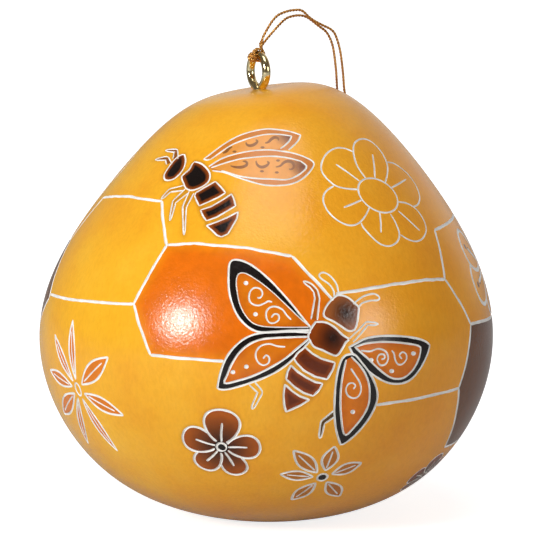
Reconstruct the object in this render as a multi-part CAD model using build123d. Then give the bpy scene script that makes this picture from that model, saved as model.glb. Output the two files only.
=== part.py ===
# Carved gourd ornament: a whole dried gourd with its loose seeds, a bent-wire screw eye in the crown
# and a knotted thread loop. Millimetres, +Z up, the carved face looks along -Y.
# Origin: middle of the gourd's outline, on the standing flat at the blossom end.

from build123d import *
from math import acos, asin, cos, exp, hypot, pi, radians, sin, sqrt, tan
import os

# Gourd: outside size and the plain numbers that shape its meridian
gourd_width = 76.0
meridian_height = 74.1
lower_fullness = 0.233
waist_fullness = -0.169
end_fullness = 0.232
crown_dimple = 2.0
dimple_radius = 8.6
crown_tilt = 8.3
tilt_growth = 3.1
crown_shift = -1.0
blossom_shift = 0.5
rind_wall = 3.2
standing_flat_radius = 7.0
stem_scar_radius = 2.0
hollow_end_radius = 3.0
section_count = 15

# Seeds that stay in an unopened gourd
seed_length = 9.0
seed_broad_width = 5.2
seed_narrow_width = 3.2
seed_thickness = 2.0
seed_edge_round = 0.7
seed_spacing = 1.2
seed_floor_gap = 0.3
seed_turn_step = 137.5

# Screw eye, one bent wire
eye_wire = 1.42
eye_ring_bore = 4.0
eye_ring_lift = 2.95
eye_neck_bend = 1.2
eye_end_gap = 0.2
eye_shank_depth = 7.0
eye_point_length = 1.8
eye_point_tip = 0.15
eye_seat_gap = 0.04
eye_turn = -61.0
eye_shift = -0.35

# Hanger: knot tied round the ring's wire, and the thread loop
thread = 0.45
knot_width = 1.3
knot_bore_gap = 0.1
knot_edge_round = 0.25
knot_ball = 1.75
knot_ball_reach = 1.45
knot_ball_side = 0.6
knot_ball_drop = 0.3
knot_neck = 1.2
knot_neck_shift = 0.45
knot_neck_rise = 1.75
bend_share = 0.45

# Route of the loop from the ring's top wire: along the fall, across it, and up
loop_route = [
    (0.40, 0.30, 1.30),
    (0.40, 0.30, 2.35),
    (0.95, 0.45, 3.60),
    (2.90, 0.45, 6.35),
    (4.95, 0.45, 7.10),
    (6.45, 0.45, 7.30),
    (8.10, 0.45, 7.30),
    (9.45, 0.45, 5.90),
    (11.60, 0.50, 4.75),
    (14.05, 0.50, 3.75),
    (14.95, 0.30, 2.15),
    (15.70, 0.00, 0.30),
    (16.35, -0.50, -1.95),
    (17.05, -1.20, -4.55),
    (17.60, -1.80, -7.40),
    (18.90, -2.30, -9.10),
    (21.00, -2.70, -11.20),
    (24.50, -3.20, -15.20),
    (28.50, -3.70, -20.30),
    (31.80, -4.00, -25.10),
    (33.90, -4.20, -28.50),
    (35.10, -5.00, -30.90),
    (34.60, -7.60, -30.90),
    (33.00, -8.40, -28.40),
    (31.00, -8.20, -25.20),
    (28.00, -7.20, -20.70),
    (24.00, -6.00, -15.40),
    (20.20, -4.80, -11.00),
    (18.00, -3.80, -8.80),
    (16.90, -3.00, -7.20),
    (16.30, -2.20, -4.90),
    (15.90, -1.70, -3.20),
    (15.30, -1.20, -0.80),
    (14.75, -0.80, 0.95),
    (14.05, -0.60, 2.40),
    (13.20, -0.50, 3.55),
    (12.05, -0.50, 4.25),
    (10.70, -0.50, 5.25),
    (9.40, -0.50, 6.10),
    (8.05, -0.50, 6.35),
    (6.90, -0.50, 6.25),
    (5.55, -0.45, 5.95),
    (4.35, -0.45, 5.00),
    (3.10, -0.40, 3.85),
    (1.60, -0.35, 2.40),
    (0.65, -0.30, 1.35),
]


def fullness(angle):
    lift = cos(angle)
    swell = 1 + lower_fullness * lift + waist_fullness * lift ** 2 + end_fullness * lift ** 4
    return sin(angle) * swell


widest = max(fullness(pi * step / 720) for step in range(721))


# Outside of the rind: radius and height at an angle, 0 at the blossom end and pi at the stem end
def outer_meridian(angle):
    radius = gourd_width / 2 * fullness(angle) / widest
    height = meridian_height * (1 - cos(angle)) / 2
    if cos(angle) < 0:
        height -= crown_dimple * exp(-(radius / dimple_radius) ** 2)
    return radius, height


# Unit step along the outside meridian at an angle
def meridian_step(angle):
    radius_a, height_a = outer_meridian(angle - 0.001)
    radius_b, height_b = outer_meridian(angle + 0.001)
    run = hypot(radius_b - radius_a, height_b - height_a)
    return (radius_b - radius_a) / run, (height_b - height_a) / run


# Inside of the rind: the outside moved in by the wall
def inner_meridian(angle):
    radius, height = outer_meridian(angle)
    step_out, step_up = meridian_step(angle)
    return radius - rind_wall * step_up, height + rind_wall * step_out


# Angle between two limits where a meridian has the given radius
def angle_at(meridian, radius, low, high):
    starts_below = meridian(low)[0] < radius
    for _ in range(60):
        middle = (low + high) / 2
        if (meridian(middle)[0] < radius) == starts_below:
            low = middle
        else:
            high = middle
    return (low + high) / 2


flat_angle = angle_at(outer_meridian, standing_flat_radius, 0.01, pi / 2)
flat_height = outer_meridian(flat_angle)[1]


# Level of one cross-section: it shifts and tilts more and more towards the crown
def section_plane(angle, height):
    rise = (1 - cos(angle)) / 2
    tilt = radians(crown_tilt) * rise ** tilt_growth
    shift = crown_shift * rise ** 3 + blossom_shift * (1 - rise) ** 6
    return Plane(
        origin=(shift, 0, height - flat_height),
        x_dir=(cos(tilt), 0, sin(tilt)),
        z_dir=(-sin(tilt), 0, cos(tilt)),
    )


# Solid lofted through round sections of one meridian between two angles
def gourd_form(meridian, low, high):
    sections = []
    for index in range(section_count):
        angle = low + (high - low) * index / (section_count - 1)
        radius, height = meridian(angle)
        sections.append(section_plane(angle, height) * Circle(radius))
    return loft(sections)


scar_angle = angle_at(outer_meridian, stem_scar_radius, pi / 2, pi - 0.002)
floor_angle = angle_at(inner_meridian, hollow_end_radius, 0.01, pi / 2)
roof_angle = angle_at(inner_meridian, hollow_end_radius, pi / 2, pi - 0.01)
rind = gourd_form(outer_meridian, flat_angle, scar_angle)
hollow = gourd_form(inner_meridian, floor_angle, roof_angle)

# Screw eye in its own frame: +X along the ring, +Y along the thread's fall, origin on the crown
scar_plane = section_plane(scar_angle, outer_meridian(scar_angle)[1])
eye_place = Location(scar_plane.from_local_coords((eye_shift, 0, 0))) * Rotation(0, 0, eye_turn)
ring_radius = (eye_ring_bore + eye_wire) / 2
neck_turn = acos(eye_neck_bend / (ring_radius + eye_neck_bend))
shank_top = eye_ring_lift - (ring_radius + eye_neck_bend) * sin(neck_turn)


# Point of the neck bend, from 0 at the shank to neck_turn at the ring
def neck_point(turn):
    return Vector(eye_neck_bend * (cos(turn) - 1), 0, shank_top + eye_neck_bend * sin(turn))


def ring_point(turn):
    return Vector(ring_radius * cos(turn), 0, eye_ring_lift + ring_radius * sin(turn))


# The ring closes until its cut end comes within the end gap of the neck or the shank
def ring_end_angle():
    neck_line = [neck_point(neck_turn * step / 40) for step in range(41)]
    neck_line += [Vector(0, 0, shank_top - 0.1 * step) for step in range(20)]
    turn = 0.0
    while min((ring_point(turn) - spot).length for spot in neck_line) > eye_wire + eye_end_gap:
        turn -= 0.01
    return turn


ring_start = pi + neck_turn
ring_end = ring_end_angle()
eye_path = Wire([
    Line((0, 0, -eye_shank_depth), (0, 0, shank_top)),
    ThreePointArc(neck_point(0), neck_point(neck_turn / 2), neck_point(neck_turn)),
    ThreePointArc(ring_point(ring_start), ring_point((ring_start + ring_end) / 2), ring_point(ring_end)),
])


# Round rod of the given diameter along the eye's wire line
def eye_rod(diameter):
    return sweep(Plane(origin=eye_path @ 0, z_dir=eye_path % 0) * Circle(diameter / 2), path=eye_path)


point_middle = -eye_shank_depth - eye_point_length / 2
eye_point = Pos(0, 0, point_middle) * Cone(eye_point_tip / 2, eye_wire / 2, eye_point_length)
screw_eye = eye_place * (eye_rod(eye_wire) + eye_point)
gourd_shell = rind - hollow - eye_place * eye_rod(eye_wire + 2 * eye_seat_gap)

# One seed: a flat drop with rounded edges
seed_reach = (seed_length - seed_broad_width / 2 - seed_narrow_width / 2) / 2
seed_ends = Pos(-seed_reach, 0) * Circle(seed_broad_width / 2) + Pos(seed_reach, 0) * Circle(seed_narrow_width / 2)
seed_block = extrude(make_hull(seed_ends.edges()), seed_thickness / 2, both=True)
seed_rims = seed_block.edges().group_by(Axis.Z)
seed = fillet(seed_rims[0] + seed_rims[-1], seed_edge_round)

# Seeds in two rings on the hollow's floor, each lying along the curve below it
seed_pitch = seed_length + seed_spacing
seed_sag = (seed_length / 2) ** 2 / (gourd_width - 2 * rind_wall)
seed_lift = seed_thickness / 2 + seed_floor_gap + seed_sag
seeds = []
for ring_reach in (seed_pitch / sqrt(3), seed_pitch / sqrt(3) + seed_pitch):
    ring_count = int(pi / asin(seed_pitch / (2 * ring_reach)) + 0.001)
    angle = angle_at(inner_meridian, ring_reach, 0.01, pi / 2)
    floor_radius, floor_height = inner_meridian(angle)
    step_out, step_up = meridian_step(angle)
    reach = floor_radius - seed_lift * step_up
    height = floor_height - flat_height + seed_lift * step_out
    for index in range(ring_count):
        turn = 2 * pi * index / ring_count
        slope = Plane(
            origin=(blossom_shift + reach * cos(turn), reach * sin(turn), height),
            x_dir=(-sin(turn), cos(turn), 0),
            z_dir=(-step_up * cos(turn), -step_up * sin(turn), step_out),
        )
        seeds.append(slope * Rotation(0, 0, seed_turn_step * len(seeds)) * seed)
gourd_seeds = Compound(seeds)


# Room that the ring's wire needs round the hinge line, at a distance from the ring's top
def wire_room(across):
    return ring_radius - sqrt((eye_ring_bore / 2) ** 2 - across ** 2) + knot_bore_gap


# Knot: turns round the ring's top wire, the ball of tied ends beside it and the neck of the loop
hitch_place = eye_place * Pos(0, 0, eye_ring_lift + ring_radius)
knot_bore_radius = wire_room(knot_width / 2)
turns = Rotation(0, 90, 0) * Cylinder(knot_bore_radius + thread, knot_width)
turns = fillet(turns.edges().filter_by(GeomType.CIRCLE), knot_edge_round)
ball = Pos(knot_ball_side, -knot_ball_reach, -knot_ball_drop) * Sphere(knot_ball / 2)
neck = Cylinder(knot_neck / 2, knot_neck_rise, align=(Align.CENTER, Align.CENTER, Align.MIN))
neck = Pos(0, knot_neck_shift, 0) * neck
flare_end = knot_ball_side + knot_ball / 2
flare_length = flare_end - knot_width / 2
flare = Pos(0, 0, flare_end - flare_length / 2) * Cone(knot_bore_radius, wire_room(flare_end), flare_length)
knot_bore = Rotation(0, 90, 0) * (Cylinder(knot_bore_radius, 2 * flare_end) + flare)
hanger_knot = hitch_place * (turns + ball + neck - knot_bore)


# Bend radius at each inner point of a route, a share of the shorter run beside it
def bend_radii(points):
    radii = []
    for before, here, after in zip(points, points[1:], points[2:]):
        turn = radians((here - before).get_angle(after - here))
        run = min((here - before).length, (after - here).length)
        radii.append(bend_share * run / tan(turn / 2))
    return radii


# Thread loop: out from the knot's neck, down the gourd's back shoulder and home again
route = [Vector(across, along, up) for along, across, up in loop_route]
radii = bend_radii(route)
loop_path = FilletPolyline(*route, radius=radii)
loop_tube = sweep(Plane(origin=loop_path @ 0, z_dir=loop_path % 0) * Circle(thread / 2), path=loop_path)
hanger_loop = hitch_place * loop_tube

print("loop length", round(loop_path.length, 2), "bends", [round(value, 2) for value in radii])
print("loop volume", round(loop_tube.volume, 3), "section x length",
      round(pi * thread ** 2 / 4 * loop_path.length, 3))
print("hitch", hitch_place.position, "hollow top", round(inner_meridian(roof_angle)[1] - flat_height, 2))

os.makedirs("parts", exist_ok=True)
for name, shape in {
    "gourd_shell": gourd_shell,
    "gourd_seeds": gourd_seeds,
    "screw_eye": screw_eye,
    "hanger_knot": hanger_knot,
    "hanger_loop": hanger_loop,
}.items():
    shape.label = name
    export_step(shape, f"parts/{name}.step")
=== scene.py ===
import bpy
import math
from itertools import chain
import numpy as np
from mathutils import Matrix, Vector
from mathutils.geometry import delaunay_2d_cdt


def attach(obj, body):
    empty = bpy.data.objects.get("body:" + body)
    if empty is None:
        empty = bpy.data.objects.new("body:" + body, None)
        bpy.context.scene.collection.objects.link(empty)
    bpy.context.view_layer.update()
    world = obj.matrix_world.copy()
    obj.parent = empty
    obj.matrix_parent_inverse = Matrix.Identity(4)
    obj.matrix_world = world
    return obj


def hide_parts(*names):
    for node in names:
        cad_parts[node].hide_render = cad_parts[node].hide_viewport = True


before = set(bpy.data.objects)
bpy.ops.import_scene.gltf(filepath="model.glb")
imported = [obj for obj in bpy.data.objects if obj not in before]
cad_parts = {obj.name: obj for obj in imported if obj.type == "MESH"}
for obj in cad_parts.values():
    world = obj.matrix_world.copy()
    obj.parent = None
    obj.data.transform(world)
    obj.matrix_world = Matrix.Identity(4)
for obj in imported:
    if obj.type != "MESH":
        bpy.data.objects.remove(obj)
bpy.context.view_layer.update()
print("frame loaded:", ", ".join(sorted(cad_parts)))

mm = 0.001
dice = np.random.default_rng(7)


# a colour as it looks on screen, 0 to 255, turned into linear light
def tone(red, green, blue):
    c = np.array([red, green, blue]) / 255.0
    return np.where(c <= 0.04045, c / 12.92, ((c + 0.055) / 1.055) ** 2.4)


# all shapes are worked out in millimetres
gourdForm = dict(width=76.0, rise=74.1, lower=0.233, waist=-0.169, ends=0.232, dimple=2.0, dimpleRadius=8.6,
                 tilt=8.3, tiltGrowth=3.1, crownShift=-1.0, blossomShift=0.5, flatRadius=7.0, scarRadius=2.0,
                 wall=3.2)


# sine of the angle times a quartic in its cosine
def fullness(angle):
    c = np.cos(angle)
    return np.sin(angle) * (1 + gourdForm["lower"] * c + gourdForm["waist"] * c ** 2
                            + gourdForm["ends"] * c ** 4)


widest = fullness(np.linspace(0, np.pi, 721)).max()


# radius and height at an angle, 0 at the blossom end and pi at the stem end, with a soft dimple in the crown
def meridian(angle):
    radius = gourdForm["width"] / 2 * fullness(angle) / widest
    height = gourdForm["rise"] * (1 - np.cos(angle)) / 2
    dip = gourdForm["dimple"] * np.exp(-(radius / gourdForm["dimpleRadius"]) ** 2)
    return radius, height - np.where(np.cos(angle) < 0, dip, 0.0)


angles = np.linspace(0.02, np.pi - 0.02, 8001)
radii, heights = meridian(angles)
belly = int(radii.argmax())
flatAngle = float(np.interp(gourdForm["flatRadius"], radii[:belly], angles[:belly]))
scarAngle = float(np.interp(-gourdForm["scarRadius"], -radii[belly:], angles[belly:]))
flatHeight = float(meridian(flatAngle)[1])
spans = np.hypot(np.diff(radii), np.diff(heights))
lengths = np.concatenate([[0], np.cumsum(spans)])
# run over radius keeps angles true
rises = np.concatenate([[0], np.cumsum(2 * spans / (radii[1:] + radii[:-1]))])
rises -= rises[belly]


def angleOf(rise):
    return np.interp(rise, rises, angles)


def riseOf(angle):
    return np.interp(angle, angles, rises)


def radiusOf(rise):
    return np.interp(rise, rises, radii)


# round sections that shift and tilt towards the crown; turn 0 is the front, growing to the viewer's right
def gourdPoint(turn, angle, inset=0.0):
    radius, height = meridian(angle)
    if inset:
        outA, upA = meridian(angle - 0.001)
        outB, upB = meridian(angle + 0.001)
        run = np.hypot(outB - outA, upB - upA)
        radius, height = radius - inset * (upB - upA) / run, height + inset * (outB - outA) / run
    share = (1 - np.cos(angle)) / 2
    tilt = np.radians(gourdForm["tilt"]) * share ** gourdForm["tiltGrowth"]
    shift = gourdForm["crownShift"] * share ** 3 + gourdForm["blossomShift"] * (1 - share) ** 6
    across = radius * np.sin(turn)
    return np.stack([shift + across * np.cos(tilt), -radius * np.cos(turn),
                     height - flatHeight + across * np.sin(tilt)], -1)


# cross product of the steps around and along the gourd
def gourdNormal(turn, angle):
    e = 1e-4
    around = gourdPoint(turn + e, angle) - gourdPoint(turn - e, angle)
    along = gourdPoint(turn, angle + e) - gourdPoint(turn, angle - e)
    n = np.cross(around, along)
    return n / np.linalg.norm(n, axis=-1, keepdims=True)


# focus and frame in pixels
viewer = dict(distance=600.0, target=35.6, elevation=8.0, aim=6.25, focus=3579.4, frame=533)


# perspective view of points on the gourd, in millimetres on a sheet through its middle
def seen(turn, angle):
    lift = math.radians(viewer["elevation"])
    back = np.array([0, -math.cos(lift), math.sin(lift)])
    up = np.array([0, math.sin(lift), math.cos(lift)])
    p = gourdPoint(turn, angle) - [0, 0, viewer["target"]]
    near = viewer["distance"] / (viewer["distance"] - p @ back)
    return np.stack([p[..., 0] * near, p @ up * near], -1)


guessTurn, guessAngle = np.meshgrid(np.radians(np.linspace(-86, 86, 87)), np.linspace(0.15, 3.0, 76),
                                    indexing="ij")
guessSeen = seen(guessTurn, guessAngle)
stepTurn = seen(guessTurn + 1e-4, guessAngle) - guessSeen
stepAngle = seen(guessTurn, guessAngle + 1e-4) - guessSeen
facing = stepTurn[..., 0] * stepAngle[..., 1] - stepTurn[..., 1] * stepAngle[..., 0] > 0


# front sheet: each point slides over the gourd until its view falls on the drawing, by Newton steps
def onFront(points):
    points = np.asarray(points, float)
    nearest = ((points[:, None] - guessSeen[facing][None]) ** 2).sum(-1).argmin(1)
    turn, angle = guessTurn[facing][nearest].copy(), guessAngle[facing][nearest].copy()
    e, leastArea, longest = 1e-4, 15.0, 0.1
    for _ in range(10):
        miss = seen(turn, angle) - points
        a = (seen(turn + e, angle) - seen(turn - e, angle)) / (2 * e)
        b = (seen(turn, angle + e) - seen(turn, angle - e)) / (2 * e)
        det = np.maximum(a[:, 0] * b[:, 1] - a[:, 1] * b[:, 0], leastArea)
        turn -= np.clip((miss[:, 0] * b[:, 1] - miss[:, 1] * b[:, 0]) / det, -longest, longest)
        angle -= np.clip((a[:, 0] * miss[:, 1] - a[:, 1] * miss[:, 0]) / det, -longest, longest)
    return np.stack([turn, riseOf(angle)], -1)


# small sheet glued on at one place: steps across and up are divided by the radius there
def glued(turn, height):
    spot = place(turn, height, belly // 4)
    radius = radiusOf(spot[1])
    return lambda points: np.asarray(points, float) / radius + spot


# a place on the unrolled gourd from its turn in degrees and its height
def place(turn, height, first=400):
    part = slice(first, 7600)
    return np.array([math.radians(turn), np.interp(height, heights[part] - flatHeight, rises[part])])


# shift and turn of a sheet before it is laid
def moved(lay, x, y, spin=0.0):
    return lambda points: lay(spun(points, spin) + [x, y])


def spun(points, degrees):
    c, s = math.cos(math.radians(degrees)), math.sin(math.radians(degrees))
    return np.asarray(points, float) @ np.array([[c, s], [-s, c]])


def oval(x, y, a, b, spin=0.0):
    s = np.linspace(0, 2 * np.pi, 73)
    return spun(np.stack([a * np.cos(s), b * np.sin(s)], -1), spin) + [x, y]


# smooth line through points, a cubic between each two
def smoothLine(points, each=12):
    p = np.asarray(points, float)
    p = np.concatenate([2 * p[:1] - p[1:2], p, 2 * p[-1:] - p[-2:-1]])
    t = np.linspace(0, 1, each, endpoint=False)[None, :, None]
    a, b, c, d = p[:-3, None], p[1:-2, None], p[2:-1, None], p[3:, None]
    line = 0.5 * (2 * b + (c - a) * t + (2 * a - 5 * b + 4 * c - d) * t ** 2
                  + (3 * b - a - 3 * c + d) * t ** 3)
    return np.concatenate([line.reshape(-1, 2), p[-2:-1]])


# two edges from root to tip, each a sine swell
def leafEdges(root, tip, half):
    way = tip - root
    t = np.linspace(0, 1, 41)[:, None]
    swell = np.array([-way[1], way[0]]) / np.linalg.norm(way) * half * np.sin(np.pi * t)
    return root + way * t + swell, root + way * t - swell


# one outline from a line's two sides, at the given half widths
def bothSides(line, half):
    way = np.gradient(line, axis=0)
    way /= np.linalg.norm(way, axis=1, keepdims=True)
    side = np.stack([-way[:, 1], way[:, 0]], -1) * half
    return np.concatenate([line + side, (line - side)[::-1]])


# leg or feeler: two lines beside a bent middle line that close at the foot
def limb(points, half, foot=0.3):
    line = evenly(np.asarray(points, float), 0.22)
    t = np.linspace(0, 1, len(line))[:, None]
    return bothSides(line, half * (1 - (1 - foot) * t) * np.minimum(1.0, (1 - t) * 9) ** 0.5)


carving = dict(width=0.33, depth=0.16, floorShare=0.55, ragged=0.13, scorch=0.05, corner=0.55, step=0.42,
               haloReach=0.7, fade=1.7, gridStep=1.15, fillStep=0.55, rowShare=0.87, fillWidest=0.35,
               pitFloor=0.6, seamGap=0.4, snap=2e-5)
cream = tone(250, 249, 245)
burnt = tone(92, 38, 10)
lines = []    # carved strokes: path on the gourd, width, halo on the skin, drawing order
pits = []     # round pecked dots: outline on the gourd
stains = []   # coloured areas: outline on the gourd and how the colour runs


# points at an even step along a line
def evenly(points, step):
    gaps = np.hypot(*np.diff(points, axis=0).T)
    run = np.concatenate([[0], np.cumsum(gaps)])
    at = np.linspace(0, run[-1], max(5, int(round(run[-1] / step)) + 1))
    return np.stack([np.interp(at, run, points[:, 0]), np.interp(at, run, points[:, 1])], -1)


# a drawn line is cut at sharp corners, each run is laid on the gourd; a smooth closed line is cut in two
def carve(line, lay, width=1.0, halo=0.0, step=None):
    line = np.asarray(line, float)
    way = np.diff(line, axis=0)
    line = line[np.concatenate([[True], np.hypot(*way.T) > 1e-6])]
    way = np.diff(line, axis=0)
    heading = np.arctan2(way[:, 1], way[:, 0])
    bend = np.abs((np.diff(heading) + np.pi) % (2 * np.pi) - np.pi)
    cuts = [0, *(np.nonzero(bend > carving["corner"])[0] + 1), len(line) - 1]
    for first, last in zip(cuts, cuts[1:]):
        path = lay(evenly(line[first:last + 1], step or carving["step"]))
        runs = [path]
        if len(cuts) == 2 and np.hypot(*(line[0] - line[-1])) < 0.05:
            half = len(path) // 2
            runs = [path[:half + 4], np.concatenate([path[half - 3:], path[1:5]])]
        for run in runs:
            lines.append(dict(path=run, width=carving["width"] * width, halo=halo, order=len(stains)))


# one colour, or one that runs from the rim inwards or outwards from a core; one that covers hides older lines
def stain(outline, lay, inner, outer=None, reach=0.0, core=None, amount=1.0, covers=False):
    outline = np.asarray(outline, float)
    if np.hypot(*(outline[0] - outline[-1])) < 1e-6:
        outline = outline[:-1]
    step = 0.3 if len(outline) > 8 else carving["step"]
    closed = evenly(np.concatenate([outline, outline[:1]]), step)[:-1]
    stains.append(dict(path=lay(closed), inner=inner, outer=inner if outer is None else outer, reach=reach,
                       core=None if core is None else lay(np.asarray([core], float))[0],
                       amount=amount, covers=covers))


# a brown painted stroke that isn't cut: a thin strip with soft ends
def brushed(line, lay, width, colour):
    line = evenly(np.asarray(line, float), 0.25)
    swell = np.sin(np.pi * np.linspace(0.12, 0.88, len(line)))[:, None] * width / 2
    stain(bothSides(line, swell), lay, colour, amount=0.85)


beeInk = dict(black=tone(22, 14, 13), rust=tone(176, 78, 8), brown=tone(80, 27, 4), wing=tone(240, 160, 70),
              wingRim=tone(206, 116, 44), wingTip=tone(112, 54, 36), mark=tone(118, 62, 46),
              ember=tone(200, 98, 14), band=tone(22, 14, 14), orange=tone(230, 124, 12),
              field=tone(206, 96, 6))


# bee from the side: round head and thorax, three bands, two long wings, bent legs
def beeSide(lay):
    ink = beeInk
    rear = smoothLine([(1.3, 2.8), (2.6, 3.8), (4.8, 5.4), (7.1, 6.7), (9.5, 7.5), (11.8, 7.9), (13.7, 7.8),
                       (15.7, 7.5), (17.6, 6.9)])
    rearEnd = smoothLine([(17.6, 6.9), (17.2, 6.0), (16.5, 5.2), (15.6, 4.4)])
    rearIn = smoothLine([(2.5, 2.8), (3.9, 3.8), (6.0, 5.2), (8.2, 6.1), (10.3, 6.7), (12.0, 7.0),
                         (14.0, 7.0), (16.1, 6.7)])
    rearInEnd = smoothLine([(16.1, 6.7), (15.7, 5.9), (15.0, 5.2), (14.2, 4.6)])
    fore = smoothLine([(2.2, 1.6), (4.3, 2.9), (6.7, 3.7), (9.2, 4.2), (12.0, 4.4), (14.2, 4.2), (16.5, 3.8),
                       (18.7, 3.0), (19.8, 2.2), (19.4, 1.1), (18.2, -0.2), (16.7, -1.1), (15.0, -1.5),
                       (12.9, -1.6), (11.0, -1.4), (8.8, -0.8), (6.7, -0.1), (4.8, 0.6), (2.8, 0.9)])
    foreIn = smoothLine([(2.6, 1.4), (4.3, 2.0), (7.1, 2.8), (9.2, 3.1), (11.4, 3.3), (13.5, 3.3),
                         (15.7, 3.0), (17.6, 2.5)])
    foreInLow = smoothLine([(17.6, 2.5), (18.6, 1.6), (17.8, 0.6), (16.5, -0.2), (15.1, -0.6), (12.9, -0.5),
                            (10.3, -0.4), (7.8, -0.1), (6.0, 0.4), (4.3, 0.9)])
    stain(np.concatenate([rear, rearEnd]), lay, ink["wingRim"], amount=0.85, covers=True)
    stain(np.concatenate([rearIn, rearInEnd]), lay, ink["wingTip"], ink["wing"], 2.8, core=(16.0, 6.6))
    for edge in (rear, rearEnd, rearIn, rearInEnd, [(1.3, 2.8), (1.9, 2.7), (2.5, 2.8)]):
        carve(edge, lay, 0.85)
    stain(fore, lay, ink["wingRim"], amount=0.85, covers=True)
    stain(np.concatenate([foreIn, foreInLow]), lay, ink["wingTip"], ink["wing"], 3.2, core=(18.5, 1.6))
    for edge in (fore, foreIn, foreInLow):
        carve(edge, lay, 0.85)
    strokes = [[(4.5, 3.8), (5.2, 4.2), (5.6, 4.7), (6.2, 4.9)],
               [(11.6, 5.5), (12.2, 5.7), (12.7, 6.2), (13.3, 6.5), (13.9, 6.3), (13.8, 5.9)],
               [(8.4, 5.7), (8.6, 5.2), (9.3, 5.1), (10.0, 5.4), (10.4, 5.9), (10.0, 6.1)],
               [(5.8, 1.7), (6.7, 1.5), (7.8, 1.5), (8.6, 1.9), (8.5, 2.4), (7.8, 2.5)],
               [(10.1, 2.6), (10.3, 1.9), (11.0, 1.5), (11.8, 1.7), (12.3, 2.2), (11.9, 2.5)],
               [(13.4, 1.5), (14.2, 1.7), (14.7, 2.2), (15.4, 2.5), (16.2, 2.3), (16.5, 1.6), (16.1, 1.1),
                (15.6, 1.2)]]
    for points in strokes:
        brushed(smoothLine(points), lay, 0.5, ink["mark"])
    for x, y in ((6.5, 4.1), (11.2, 4.8), (13.8, 2.6), (11.1, 0.8), (13.6, 0.6)):
        stain(oval(x, y, 0.38, 0.2), lay, ink["mark"], amount=0.85)
    feelers = [[(-3.4, 2.9), (-3.3, 4.25), (-5.1, 4.3)], [(-4.5, 2.1), (-4.85, 3.0), (-6.8, 2.75)]]
    legs = [[(-2.0, -2.0), (-4.3, -2.4), (-5.8, -3.9)], [(-1.5, -2.5), (-3.6, -4.3), (-4.35, -7.5)],
            [(-0.7, -2.7), (-1.9, -5.2), (-1.95, -9.9)]]
    for points, amount in chain(((points, 0.85) for points in feelers), ((points, 0.3) for points in legs)):
        outline = limb(points, 0.42)
        stain(outline, lay, tone(120, 52, 12), amount=amount)
        carve(outline, lay, 0.75, halo=0.45, step=0.36)
    head = [(-1.9, 3.6), (-1.7, 2.5), (-2.2, 1.0), (-3.4, -0.3), (-4.4, -0.7), (-5.2, -0.6), (-5.3, 0.2),
            (-4.6, 1.4), (-3.6, 2.7), (-2.6, 3.5), (-1.9, 3.6)]
    thorax = [(-0.2, 2.4), (0.9, 2.1), (2.0, 1.1), (2.4, 0.2), (2.2, -0.8), (1.5, -1.5), (0.4, -2.1),
              (-0.8, -2.4), (-1.7, -2.0), (-2.0, -1.3), (-2.4, -0.2), (-1.9, 0.4), (-1.1, 1.1), (-0.6, 2.0),
              (-0.2, 2.4)]
    bands = [[(3.3, -0.9), (4.1, -1.7), (5.0, -2.8), (3.9, -3.5), (2.2, -4.3), (0.6, -5.0), (0.2, -4.3),
              (-0.2, -3.3), (0.0, -2.8), (1.5, -1.9), (3.3, -0.9)],
             [(6.0, -3.0), (6.4, -3.9), (6.7, -5.0), (5.2, -5.9), (3.5, -6.9), (1.8, -7.5), (1.2, -6.7),
              (0.8, -5.7), (2.6, -5.1), (4.5, -4.0), (6.0, -3.0)],
             [(7.1, -6.0), (6.9, -7.1), (6.0, -8.7), (5.4, -9.7), (4.3, -10.2), (3.5, -9.9), (2.6, -9.0),
              (1.8, -8.3), (3.5, -7.7), (5.4, -6.9), (7.1, -6.0)]]
    for outline in [smoothLine(head), smoothLine(thorax)] + bands:
        stain(outline, lay, ink["black"], ink["ember"], 0.85, covers=True)
        carve(outline, lay, 0.85, halo=0.6)


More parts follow.
